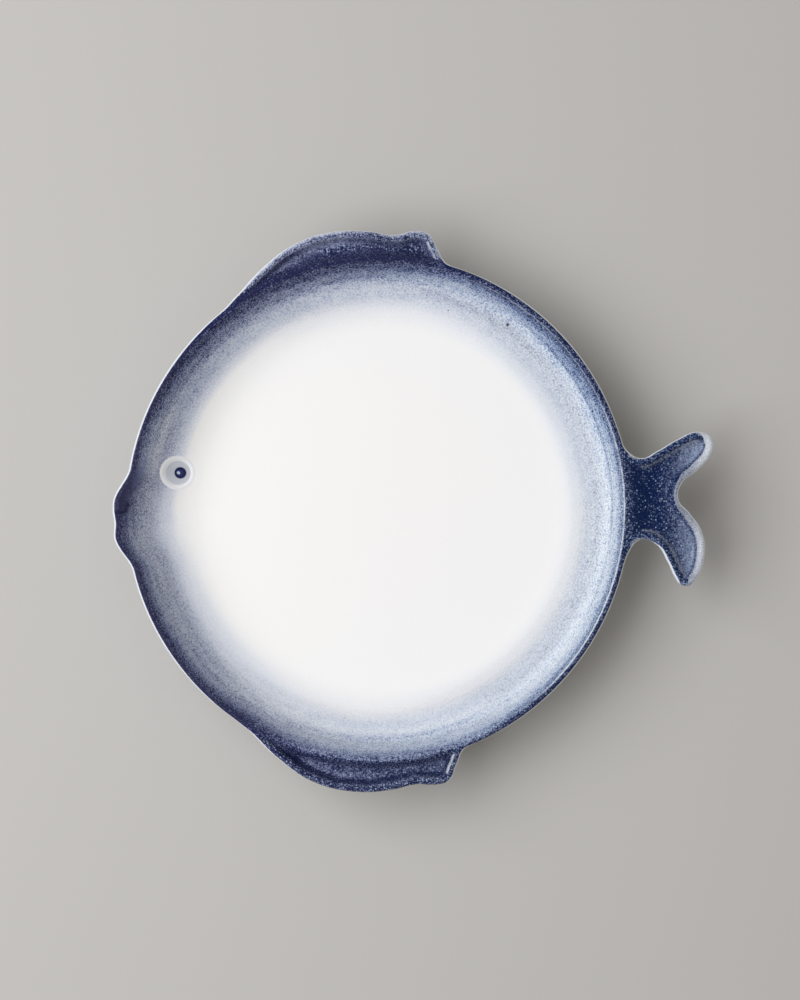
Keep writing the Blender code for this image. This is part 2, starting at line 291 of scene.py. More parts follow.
def finLoop(outline, reach):
    tip, rear = outline[0][0], outline[-1][0]
    shown = [(angle, share * reach) for angle, share in outline]
    hidden = []
    for share, depth in finForm["root"]:
        hidden.append((rear + (tip - rear) * share, -depth * finForm["rootDepth"]))
    points = []
    for angle, past in shown + hidden:
        turn = math.radians(angle)
        points.append(((rimRadius + past) * math.cos(turn), (rimRadius + past) * math.sin(turn)))
    return smoothLoop(points)


def tailLoop():
    points = [(rimRadius + past, side) for past, side in finForm["tail"]]
    for end in (points[-1], points[0]):
        points.append((rimRadius - finForm["rootDepth"], finForm["tailRootSpread"] * end[1]))
    return smoothLoop(points)


loops = {
    "tail": tailLoop(),
    "back": finLoop(finForm["back"], finForm["backReach"]),
    "belly": finLoop(finForm["belly"], finForm["bellyReach"]),
}
print("fin and tail loops drawn")


def gapInside(places, ring, chunk=2000):
    # Distance of each place to a closed loop, positive inside it
    start, end = ring, np.roll(ring, -1, axis=0)
    step = end - start
    length = np.maximum(np.sum(step * step, axis=1), 1e-12)
    gaps = []
    for part in np.array_split(places, len(places) // chunk + 1):
        off = part[:, None, :] - start[None]
        share = np.clip(np.sum(off * step, axis=2) / length, 0.0, 1.0)
        gap = np.linalg.norm(off - share[..., None] * step, axis=2).min(axis=1)
        x, y = part[:, 0, None], part[:, 1, None]
        spans = (start[:, 1] > y) != (end[:, 1] > y)
        rise = np.where(step[:, 1] == 0.0, 1e-12, step[:, 1])
        crosses = spans & (x < start[:, 0] + (y - start[:, 1]) * step[:, 0] / rise)
        gaps.append(np.where(crosses.sum(axis=1) % 2 == 1, gap, -gap))
    return np.concatenate(gaps)


outlineForm = {
    "step": 0.65,  # mm between points of the outline
    "joinReach": 6.0,  # mm of outline rounded on each side of a join
    "joinRounds": 24,
    "joinFull": 0.3,  # share of the reach that is rounded in full
    "arcStep": 0.3,  # degrees between points of the rim's arcs
    "arcClear": 0.4,  # degrees left clear after a fin
}


def evenly(ring, step):
    closed = np.vstack((ring, ring[:1]))
    run = np.concatenate(([0.0], np.cumsum(np.linalg.norm(np.diff(closed, axis=0), axis=1))))
    marks = np.linspace(0.0, run[-1], int(run[-1] / step), endpoint=False)
    return np.column_stack([np.interp(marks, run, closed[:, i]) for i in (0, 1)])


def plateOutline():
    # Arcs of the rim, and between them the stretch of each loop that lies outside the rim
    form = outlineForm
    ring, joins, chains = [], [], []
    for loop in loops.values():
        out = levelRadius(loop) > rimRadius
        first = np.flatnonzero(out & ~np.roll(out, 1))[0]
        chain = np.roll(loop, -first, axis=0)[:out.sum()]
        joins += [chain[0], chain[-1]]
        chains.append(chain)
    for chain, following in zip(chains, chains[1:] + chains[:1]):
        ring.append(chain)
        start, end = polar(np.array((chain[-1], following[0])))[1]
        end += 360.0 if end < start else 0.0
        angle = np.arange(start + form["arcClear"], end - form["arcStep"], form["arcStep"])
        ring.append(circle(rimRadius + rimSwing(angle % 360.0), np.radians(angle)))
    ring = evenly(np.vstack(ring), form["step"])
    near = np.min([np.linalg.norm(ring - join, axis=1) for join in joins], axis=0)
    weight = (1.0 - smoothStep(form["joinFull"], 1.0, near / form["joinReach"]))[:, None]
    for settle in range(form["joinRounds"]):
        middle = (np.roll(ring, 1, axis=0) + np.roll(ring, -1, axis=0)) / 2
        ring = ring + weight * (middle - ring)
    return evenly(ring, form["step"])


outline = plateOutline()
facings = np.roll(outline, -1, axis=0) - np.roll(outline, 1, axis=0)
facings /= np.linalg.norm(facings, axis=1)[:, None]
facings = np.column_stack((facings[:, 1], -facings[:, 0]))  # which way each point of it faces
print("outline has", len(outline), "points")


def lipDrop(gap, radius, slope):
    # How far a rolled lip falls away from its crown, round at first and then straight
    turn = radius * slope / np.sqrt(1.0 + slope**2)
    curved = radius - np.sqrt(np.maximum(radius**2 - np.clip(gap, 0.0, turn) ** 2, 0.0))
    return curved + slope * np.maximum(gap - turn, 0.0)


def nearLine(places, line, width):
    # 1 along an open line, fading to each side of it
    line = np.array(line)
    offs = []
    for start, step in zip(line, np.diff(line, axis=0)):
        share = np.clip((places - start) @ step / np.sum(step**2), 0.0, 1.0)
        offs.append(np.linalg.norm(places - start - share[:, None] * step, axis=1))
    return np.exp(-(np.min(offs, axis=0) / width) ** 2)


def mouthFold(places):
    return nearLine(places, plateForm["mouthFold"], plateForm["foldWide"])


def plateTop(places, level, edgeGap, tailGap):
    form = finForm
    bowl = onLine(upperLine, level)
    tailShare = smoothStep(*form["tailJoin"], tailGap)
    depth = between(form["pocketDepth"], form["tailDepth"], tailShare)
    steep = between(form["lipSteep"], form["tailLipSteep"], tailShare)
    fromLip = lipDrop(edgeGap - lipRound, lipRound, steep)
    past = level - crown
    fromRim = lipDrop(past, form["rimRound"], form["rimSteep"])
    fromRim = between(fromRim, depth * smoothStep(0.0, form["tailSlope"], past), tailShare)
    floorBlend = form["floorBlend"] + form["floorBlend"] * tailShare
    drop = softMin(softMin(fromLip, fromRim, form["lipBlend"]), depth, floorBlend)
    drop = np.where(past > 0.0, np.maximum(drop, 0.0), 0.0)
    rolled = np.clip(lipRound - edgeGap, 0.0, lipRound)
    fold = plateForm["foldDeep"] * mouthFold(places) * smoothStep(0.0, plateForm["foldEase"], edgeGap)
    return bowl - drop - (lipRound - np.sqrt(lipRound**2 - rolled**2)) - fold


def plateUnder(level, edgeGap, finGap):
    form = finForm
    bowl = onLine(lowerLine, level)
    isFin = smoothStep(*form["underJoin"], finGap)
    isFin = np.maximum(isFin, smoothStep(*form["underPast"], level - rimRadius))
    low = rimTop - form["underDepth"]
    inward = 1.0 - np.clip(edgeGap / form["underRound"], 0.0, 1.0)
    square = form["underSquare"]
    fin = low + (edgeHeight - low) * (1.0 - (1.0 - inward**square) ** (1 / square))
    fin = fin + form["underFade"] * (1.0 - isFin)
    least, more = form["underBlend"]
    return softMin(bowl, fin, least + more * smoothStep(0.0, form["underInside"], edgeGap))


meshForm = {
    "lipSteps": [  # mm in from the outline
        0.07, 0.22, 0.45, 0.75, 1.1, 1.5, 1.85, 2.15, 2.4, 2.65, 2.9, 3.15, 3.45, 3.85, 4.3,
    ],
    "rings": [  # from this radius, mm apart
        (0, 3.2), (78, 1.1), (103.6, 0.35), (106.6, 0.6), (109.2, 0.3), (111.9, 0.7),
    ],
    "reach": 38.0,  # mm past the rim that rings are tried
    "clear": 4.7,  # mm from the outline where the rings stop
    "foldStep": 0.4,  # mm between points round the mouth's crease
    "foldMargin": 2.0,  # mm round the crease that these points reach
    "stepKept": 0.93,  # share of a lip step that a moved point has to be in from the outline
    "wellApart": 1.3,  # least mm between the points of a ring
    "rimApart": 0.8,  # the same near the rim
    "rimZone": 3.0,  # mm inside the lip's crown
    "tryClear": 14.0,  # mm inside the rim, from where points are tried against the outline
    "farIn": 24.0,  # mm, stands for every larger gap to the outline
    "weld": 1e-5,  # mm
    "onOutline": 1e-3,  # mm
}


def platePoints():
    form = meshForm
    lip = [outline]
    for gap in form["lipSteps"]:
        moved = outline - gap * facings
        lip.append(moved[gapInside(moved, outline) > form["stepKept"] * gap])
    inner = [np.zeros((1, 2))]
    starts = [start for start, apart in form["rings"]] + [rimRadius + form["reach"]]
    for (start, apart), end in zip(form["rings"], starts[1:]):
        for radius in np.arange(max(start, apart), end, apart):
            least = form["wellApart"] if radius < crown - form["rimZone"] else form["rimApart"]
            count = int(math.tau * radius / max(apart, least))
            angle = (np.arange(count) + 0.5 * (len(inner) % 2)) * 360.0 / count
            reached = radius + rimSwing(angle) * smoothStep(wellRadius, crease[0], radius)
            inner.append(circle(reached, np.radians(angle)))
    fold = np.array(plateForm["mouthFold"])
    lows, highs = fold.min(axis=0) - form["foldMargin"], fold.max(axis=0) + form["foldMargin"]
    spans = [np.arange(low, high, form["foldStep"]) for low, high in zip(lows, highs)]
    grid = np.column_stack([part.ravel() for part in np.meshgrid(*spans)])
    inner.append(grid[gapInside(grid, outline) > form["clear"]])
    inner = np.vstack(inner)
    near = polar(inner)[0] > rimRadius - form["tryClear"]
    clear = gapInside(inner[near], outline) > form["clear"]
    return np.vstack((*lip, inner[~near], inner[near][clear]))


flat = platePoints()
print("plate has", len(flat), "points a side")
ringEdges = [(i, (i + 1) % len(outline)) for i in range(len(outline))]
filled = delaunay_2d_cdt([Vector(p) for p in flat], ringEdges, [], 0, meshForm["weld"], False)
places = np.array([tuple(p) for p in filled[0]])
faces = np.array(filled[2])
bridging = np.flatnonzero((faces < len(outline)).all(axis=1))  # may span the gaps between fins and rim
inOutline = gapInside(places[faces[bridging]].mean(axis=1), outline) > 0.0
faces = np.delete(faces, bridging[~inOutline], axis=0)
print("plate has", len(faces), "faces a side")

level = levelRadius(places)
farIn = meshForm["farIn"]
nearRim = level > rimRadius - farIn
edgeGap = np.full(len(places), farIn)
edgeGap[nearRim] = np.maximum(gapInside(places[nearRim], outline), 0.0)
finGaps = {name: np.full(len(places), -farIn) for name in loops}
for name, loop in loops.items():
    finGaps[name][nearRim] = gapInside(places[nearRim], loop)
tailGap = finGaps["tail"]
finGap = np.max(list(finGaps.values()), axis=0)
top = plateTop(places, level, edgeGap, tailGap)
under = plateUnder(level, edgeGap, finGap)
onEdge = edgeGap < meshForm["onOutline"]
top[onEdge] = edgeHeight
print("least thickness", round(float(np.min((top - under)[edgeGap > 2.0])), 2), "mm")


# Eye: a ring and a bead laid on the cove

eyeForm = {
    "angle": 169.7,  # degrees about the axis
    "fromRim": 20.4,  # mm
    "across": 16.1,
    "ringWidth": 2.8,
    "ringRise": 0.62,
    "ringFade": 0.45,  # how much lower the ring is on its tail side
    "ringSoft": 1.4,  # power of its swell, for soft feet
    "ringSteps": 25,
    "ringPool": 3.0,  # mm, bluish pooling in its glaze
    "beadAcross": 5.3,
    "beadRise": 1.5,
    "beadShift": 1.0,  # mm towards the tail
    "beadTurn": 86.0,  # degrees that the dome rises through
    "beadSteps": 15,
    "beadGrain": 0.9,  # mm
    "beadRagged": 1.0,  # mm that the grain moves the edge of a tint
    "beadFoot": "#10143a",
    "beadTintsAndHighlight": [  # mm towards the tail from its middle, mm where it is whole and where it ends, colour
        # the first is paler glaze over the crown, partly a painted reflection; the second, shifted towards
        # the head, is a painted highlight
        (0, 0.9, 3, "#33407a"), (-0.7, 0.9, 1.45, "#c9d0dc"),
    ],
    "discEdge": (1.0, 3.0),  # mm in from the ring's outer edge, where the pool starts and is full
    "discCobalt": 0.43,  # the glaze that pooled inside the ring
    "sink": 0.25,  # mm that a laid piece is bedded in the glaze
    "steps": 96,
}
eyeTurn = math.radians(eyeForm["angle"])
eyeCentre = (rimRadius - eyeForm["fromRim"]) * np.array((math.cos(eyeTurn), math.sin(eyeTurn)))


def twoTone(name, size, detail, colours, surface, grit):
    # A material that wanders between two colours over patches of a size in mm, with grit in mm
    material, add = newMaterial(name)
    place = add("TexCoord", {}).outputs["Object"]
    patches = add("TexNoise", {"Vector": place, "Scale": 1 / (size * mm), "Detail": detail})
    first, second = [linearColour(colour) for colour in colours]
    tint = add("Mix", {0: patches, 6: first, 7: second}, data_type="RGBA").outputs[2]
    surface = {"Base Color": tint, **surface}
    if grit:
        surface["Normal"] = add("Bump", {"Height": patches, "Strength": 0.4, "Distance": grit * mm})
    add("OutputMaterial", {"Surface": add("BsdfPrincipled", surface)})
    return material


def whiteGlaze():
    # White tin-opacified glaze on stoneware: smooth and bright, with faint bluish pooling
    return twoTone("stoneware_white_glaze", eyeForm["ringPool"], 2.0, ("#f8f9fa", "#eef1f4"),
                   {"Roughness": 0.16, "IOR": 1.52}, 0.0)


def cobaltBeadGlaze():
    # A bead of cobalt glaze melted to a glossy dome: dark where it pools round its foot, paler at its
    # crown, partly a painted reflection, with a painted highlight left of its top
    material, add = newMaterial("cobalt_bead_glaze")
    place = add("TexCoord", {}).outputs["Object"]
    level = add("VectorMath", {0: place, 1: (1.0, 1.0, 0.0)}, operation="MULTIPLY")
    centre = (eyeCentre + (eyeForm["beadShift"], 0.0)) * mm
    grain = add("TexNoise", {"Vector": place, "Scale": 1 / (eyeForm["beadGrain"] * mm), "Detail": 2.0})
    tint = linearColour(eyeForm["beadFoot"])
    # Over the dark foot: a paler crown, partly a painted reflection, and a painted highlight left of the
    # top
    for away, whole, ended, colour in eyeForm["beadTintsAndHighlight"]:
        off = add("VectorMath", {
            0: level, 1: (centre[0] + away * mm, centre[1], 0.0)}, operation="DISTANCE")
        ragged = add("Math", {
            0: grain, 1: eyeForm["beadRagged"] * mm, 2: off.outputs["Value"]}, operation="MULTIPLY_ADD")
        near = add("MapRange", {
            "Value": ragged, "From Min": whole * mm, "From Max": ended * mm, "To Min": 1.0, "To Max": 0.0})
        tint = add("Mix", {0: near, 6: tint, 7: linearColour(colour)}, data_type="RGBA").outputs[2]
    shader = add("BsdfPrincipled", {"Base Color": tint, "Roughness": 0.08, "IOR": 1.5})
    add("OutputMaterial", {"Surface": shader})
    return material


def laidPiece(name, profile, closed, shift, fade, material):
    # A profile of radius and rise, turned and bent to the floor under it, lower towards the tail
    steps = eyeForm["steps"]
    turn = np.arange(steps) * math.tau / steps
    points = []
    for radius, rise in profile:
        flatRing = eyeCentre + (shift, 0.0) + circle(radius, turn)
        floor = onLine(upperLine, levelRadius(flatRing))
        rises = rise * (1.0 - fade * (0.5 + 0.5 * np.cos(turn)))
        points.append(np.column_stack((flatRing, floor + rises - eyeForm["sink"])))
    rows = len(profile)
    skins = []
    for row in range(rows if closed else rows - 1):
        for i in range(steps):
            j = (i + 1) % steps
            a, b = row * steps, (row + 1) % rows * steps
            skins.append((a + i, a + j, b + j, b + i))
    points = np.vstack(points)
    if not closed:
        skins.append(tuple(range(steps)))
        skins.append(tuple(range(len(points) - 1, len(points) - steps - 1, -1)))
    return newPiece(name, points * mm, skins, material)


half = eyeForm["ringWidth"] / 2
middle = eyeForm["across"] / 2 - half
ringProfile = []
for share in np.linspace(1.0, -1.0, eyeForm["ringSteps"]):
    swell = math.cos(share * math.pi / 2) ** eyeForm["ringSoft"]
    ringProfile.append((middle + half * share, eyeForm["ringRise"] * swell + eyeForm["sink"]))
ringProfile += [(middle - half, 0.0), (middle + half, 0.0)]
eyeRing = laidPiece("eye_ring_glazed", ringProfile, True, 0.0, eyeForm["ringFade"], whiteGlaze())
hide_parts("eye_ring")

half = eyeForm["beadAcross"] / 2
beadProfile = [(half, 0.0)]
for turn in np.radians(np.linspace(0.0, eyeForm["beadTurn"], eyeForm["beadSteps"])):
    beadProfile.append((half * math.cos(turn), eyeForm["sink"] + eyeForm["beadRise"] * math.sin(turn)))
bead = laidPiece("eye_bead", beadProfile, False, eyeForm["beadShift"], 0.0, cobaltBeadGlaze())
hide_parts("eye_pupil")
print("eye laid")


# Glaze

glazeForm = {
    "run": [  # mm in from the rim's outer edge, share of cobalt
        (0, 1), (2.1, 1), (3, 0.94), (4.3, 0.8), (5.7, 0.7), (7, 0.54), (8.5, 0.49), (9.7, 0.46),
        (11.5, 0.44), (15, 0.44), (17.2, 0.4), (19.8, 0.32), (22.5, 0.2), (25.5, 0.11), (28.5, 0.04),
        (32, 0),
    ],
    "passes": {  # of the spray, the cove's three also partly painted light and shade: middle, half width and ease in degrees, and what each adds to the run
        "wipedByTail": ((340, 40, 40), [
            (2, 0), (2.5, -0.14), (2.9, -0.22), (3.9, -0.13), (4.4, -0.16), (5, -0.29), (5.9, -0.2),
            (6.5, -0.25), (6.9, -0.24), (7.8, -0.21), (8.6, -0.11), (9.3, -0.16),
            (10.4, -0.05), (11.5, 0)]),
        # partly painted shade: more cobalt on the cove on the tail side, which faces the lamp
        "coveByTailAndPaintedShade": ((352, 70, 50), [
            (11, 0), (13.2, 0.09), (15, 0.07), (17.2, 0.1), (19.5, 0.16), (21.3, 0.16), (23.8, 0.19),
            (26.2, 0.12), (28.7, 0.02), (31, 0)]),
        # partly painted light: less cobalt on the cove on the head side and under the back fin, where the
        # wall shades it from the lamp
        "coveByHeadAndPaintedLight": ((158, 36, 30), [(21, 0), (23.5, -0.17), (26, -0.11), (28.5, -0.04), (31, 0)]),
        "coveUnderBackAndPaintedLight": ((138, 24, 30), [(16, 0), (19, -0.06), (21.2, -0.13), (23, -0.06), (25, 0)]),
        "underBackFin": ((116, 33, 28), [
            (2.2, 0.03), (2.9, 0), (3.4, 0.01), (4.4, 0.08), (5.3, 0.11), (5.9, 0.03), (6.9, 0.1),
            (7.8, 0.15), (8.5, 0.16), (9.3, 0.1), (10.4, 0.04), (11.8, -0.04), (13.2, -0.06), (15, -0.04),
            (17, 0)]),
        "brow": ((149, 12, 14), [
            (6.5, 0), (7.4, 0.08), (8.2, 0), (10.8, 0), (11.8, 0.1), (13.2, 0.11), (15, 0.05), (17, 0)]),
        "temple": ((165, 8, 8), [
            (2.6, 0), (3.2, -0.09), (6, -0.1), (7.5, -0.02), (8.5, -0.08), (10.4, -0.03), (11.8, 0.1),
            (13.2, 0.08), (17, 0)]),
        "upperLip": ((177, 6, 9), [
            (2.5, -0.03), (4.4, 0.1), (6.9, 0.24), (8, 0.22), (9.7, 0.19), (13, 0.12), (15, 0.08),
            (18, 0)]),
        "jowl": ((208, 24, 22), [
            (3.5, 0), (5.2, -0.02), (6.2, -0.05), (6.9, -0.01), (7.8, 0.1), (8.7, 0.09), (9.7, 0.09),
            (11.2, 0.13), (13, 0.15), (15, 0.08), (17.2, -0.03), (20, -0.05), (22.5, 0.03), (24, 0.06),
            (28, 0)]),
        "throat": ((235, 16, 16), [
            (6, 0), (7, 0.04), (8.7, 0.06), (9.7, 0.01), (11.2, 0), (13.2, -0.06), (15, -0.08),
            (17, -0.09), (19, 0)]),
        "overBellyFin": ((274, 26, 22), [
            (0, -0.03), (0.5, -0.05), (1.5, -0.19), (4.4, -0.19), (5.9, -0.2), (6.9, -0.08), (7.8, -0.07),
            (8.7, -0.02), (9.3, 0.04), (10.4, 0), (11.8, -0.14), (13.2, -0.13), (15, -0.05), (19.8, 0)]),
        "shoulder": ((62, 16, 20), [
            (2.6, 0), (3, -0.06), (4.1, -0.04), (6, -0.09), (7.2, -0.07), (9, 0), (10.4, 0), (11.8, 0.08),
            (13.2, 0.09), (17, 0)]),
        "pooledAboveCrease": ((12, 37, 22), [(6.7, 0), (7.05, 0.28), (7.4, 0.28), (7.8, 0)]),
    },
    "foldCobalt": 0.12,  # more in the mouth's crease
    "backFin": [  # mm in from the outline, share of cobalt
        (0, 0.5), (1.1, 0.68), (2, 0.89), (2.9, 0.77), (3.6, 0.83), (4.4, 0.86), (5.6, 0.84), (8, 0.95),
    ],
    "bellyFin": [
        (0, 0.9), (1.1, 0.96), (2.1, 0.97), (3, 0.9), (3.7, 1), (4.8, 1), (6, 0.9), (7.2, 0.87), (9, 0.92),
    ],
    "finPasses": {  # as the passes above, but mm in from the outline
        "backHook": ((85.5, 7, 6), [
            (0, 0), (1.1, 0.02), (3, 0.03), (3.8, 0.035), (4.7, 0.075), (5.8, 0.095), (7.2, 0.07),
            (9, 0.03)]),
        "lipBeforeHook": ((91, 4.5, 5), [(0, 0), (1.1, 0.11), (2.1, 0.1), (3, 0.03), (3.6, 0)]),
        "backMiddle": ((101, 6.5, 6), [
            (1.1, -0.03), (2.1, 0), (3, -0.06), (3.8, -0.085), (4.7, -0.07), (5.8, -0.03), (7.2, 0)]),
        "backFront": ((113, 5.5, 6), [
            (1.1, -0.07), (2.1, 0), (3, 0.03), (3.8, 0.1), (4.7, 0.01), (5.8, -0.05), (7.2, -0.05)]),
        "bellyFront": ((248, 6, 8), [
            (1.1, 0), (2.1, 0.09), (3, 0.05), (3.8, 0.08), (4.7, 0.05), (5.8, 0)]),
        "bellyMiddle": ((260, 4, 4), [(4.6, 0), (5.8, -0.05), (7.2, -0.03), (8.7, 0)]),
        "bellyRear": ((276, 6.5, 6), [
            (1.1, 0.02), (2.1, -0.02), (3, -0.06), (3.8, -0.12), (4.3, 0), (4.8, 0.03), (7.2, 0.02),
            (8.7, 0)]),
    },
    "slopeCobalt": 0.95,  # on the slope from a fin up to the rim
    "tailFin": [(0.0, 0.88), (1.2, 0.92), (2.4, 0.98), (3.0, 0.98), (4.2, 1.01), (5.4, 1.04)],
    "tailPaintedSheen": -0.18,  # painted reflection: less cobalt along the inner edge of the tail's lip
    "paintedSheenAt": (3.95, 0.7),  # mm in from the outline, and half its width
    "tipCobalt": -0.30,  # towards the ends of the tail
    "grainRun": [  # mm in from the rim's outer edge, strength of the grain
        (0, 1), (8, 1), (11, 0.72), (15, 0.58), (20, 0.28), (26, 0.14), (34, 0),
    ],
    "grainLess": {"belly": 0.25, "upperLip": 0.75, "plain": 0.5, "tip": 0.3, "disc": 0.8},
    "finGrain": 0.50,
    "lipGrain": 0.6,  # more of it on a fin's lip
    "fleck": 0.05,  # share of cells with a pale fleck
    "rimFleck": 0.32,  # more of them on the rim
    "fleckLess": {"back": 0.45, "head": 0.9, "tip": 0.08},
    "finFleck": {"floor": 0.20, "lip": 0.52, "backPocket": 0.52, "bellyPocket": 0.34},
    "tailFleck": {"floor": 0.44, "lip": 0.04},
    "hazes": [  # grey in the blue: least, more in a sector, and mm in from the rim where it starts
        (0.1, 0.2, (190, 52, 30), [(4.2, 2)]),
        (0, 0.2, (102, 27, 12), [(4.2, 2)]),
        (0, 0.4, (5, 78, 60), [(9, 13)]),
        (0, 0.24, (205, 50, 40), [(3, 10), (19, 14)]),
        (0.12, 0, (0, 90, 90), [(13, 21)]),
        (0, 0.45, (60, 75, 40), [(13, 21)]),
        (0, 0.7, (310, 65, 40), [(13, 21)]),
    ],
    "clearWall": 0.14,  # less grey on the wall by the shoulder
    # grey in the blue on the fins; the last greys the tail's painted reflection
    "finHaze": {"all": 0.15, "backLip": 0.10, "tip": 0.15, "paintedSheen": 0.3},
    "discHaze": 0.45,  # in the pool inside the eye's ring
    "wellDry": 0.75,  # how much less dry the well is than the wall
    "finDry": 0.05,
    "underDry": 0.12,
    "overspray": {"cobalt": 0.30, "grain": 0.6},  # underneath
    "sectors": {  # middle, half width and ease in degrees
        "belly": (255.0, 75.0, 60.0), "back": (102.0, 27.0, 12.0), "head": (185.0, 60.0, 40.0),
        "upperLip": (175.5, 6.0, 6.0), "clearWall": (48.0, 36.0, 24.0),
    },
    "zones": {  # where each starts and where it is full
        # mm in from the rim's outer edge
        "upperLip": (9.0, 5.0), "plain": (3.4, 1.8), "rimFleck": (2.8, 2.0), "dry": (1.9, 2.9),
        "wellDry": (12.0, 36.0), "clearFrom": (3.0, 4.5), "clearTo": (10.0, 7.5), "fin": (0.5, -2.0),
        "finSlope": (-3.4, -0.8), "pocketFloor": (-2.0, -5.0),
        # mm in from the outline
        "lip": (3.7, 2.9), "pocket": (4.6, 6.4), "tailFloor": (2.9, 5.6), "backLip": (2.8, 0.8),
        "overspray": (11.0, 1.0), "underEdge": (1.6, 0.4),
        # mm inside the tail's loop, mm past the rim along +X, and mm from the axis along +Y
        "tail": (-2.5, -1.5), "tip": (8.0, 31.0), "tipWhite": (24.0, 34.0), "forkWide": (15.0, 27.0),
        "backSide": (60.0, 90.0),
        # how far the outline faces the tail, or for the last one the back, from -1 to 1
        "paintedSheenFacing": (0.35, -0.15), "headFacing": (-0.4, -0.9), "tailFacing": (0.2, 0.8),
        "forkFacing": (-0.3, 0.7), "paintedHighlightFacing": (0.75, 0.95), "backFacing": (0.3, 0.9),
    },
    "stops": [  # share of cobalt, colour
        (0, "#efefed"), (0.22, "#dae0e7"), (0.42, "#bfc9d8"), (0.6, "#98a6c1"),
        (0.77, "#667498"), (0.9, "#384268"), (1, "#0b1b48"),
    ],
    "breakColour": "#dde3ea",  # thin white glaze over the clay's edge
    "fleckColour": "#a8bad6",
    "ironColour": "#2b2a33",
    "grain": 0.85,  # mm, the white grains that float up through the blue
    "fineGrain": 0.48,  # mm
    "blotch": 5.0,  # mm
    "streakLong": 14.0,  # mm along the rim
    "streakWide": 1.3,  # mm across it
    "pushes": {  # middle of each noise, and how far it moves the cobalt
        "grain": (0.52, 0.60), "fine": (0.5, 0.80), "streak": (0.5, 0.24), "blotch": (0.5, 0.26),
    },
    "fleckApart": 0.95,  # mm
    "violetSide": 170.0,  # degrees about the axis, where the blue leans to violet
    "violetBy": 0.012,  # turns of hue there
    "violetAll": 0.004,  # turns of hue all over
    "peel": 2.6,  # mm, slow waves in the gloss
    "lipLine": [  # mm from the axis, where the upper lip ends
        (-110.4, 2.9), (-109.2, 4.7), (-107.4, 5.6), (-105.6, 5.9),
    ],
    "lipLineWide": 0.4,  # mm
    "lipLineWhite": 0.38,
    "leastEdge": 0.02,  # mm of white edge all round
    "headEdgeAndPaintedLight": 0.80,  # more where it faces the head: glaze break, partly painted light on the edge the lamp lights
    "tailEdge": 0.48,  # where it faces the tail
    "backEdge": 0.25,  # where it faces the back
    "edgeFade": (0.5, 1.5),  # times its width, where the edge starts to fade and where it ends
    "forkBand": (0.5, 1.3, 2.2),  # mm of pale lip all over, more facing the tail, and more by the tips
    "forkSoft": 0.7,  # mm
    "forkWhite": (0.42, 0.17),  # all over, and more at the tips
    "shoulders": [  # white, mm in from the rim, half its width, sector of the rim
        (0.62, 2.8, 0.42, (342, 34, 24)),
        (0.42, 3.1, 0.4, (42, 28, 20)),
    ],
    "paintedHookHighlight": (0.56, 3.1, 0.85),  # painted highlight inside the fins' hooks: white, mm in from the outline, half its width
    "ironSpecks": [(31.8, 90.7, 0.6), (58.7, 83.9, 1.4)],  # mm from the axis, and mm across
}


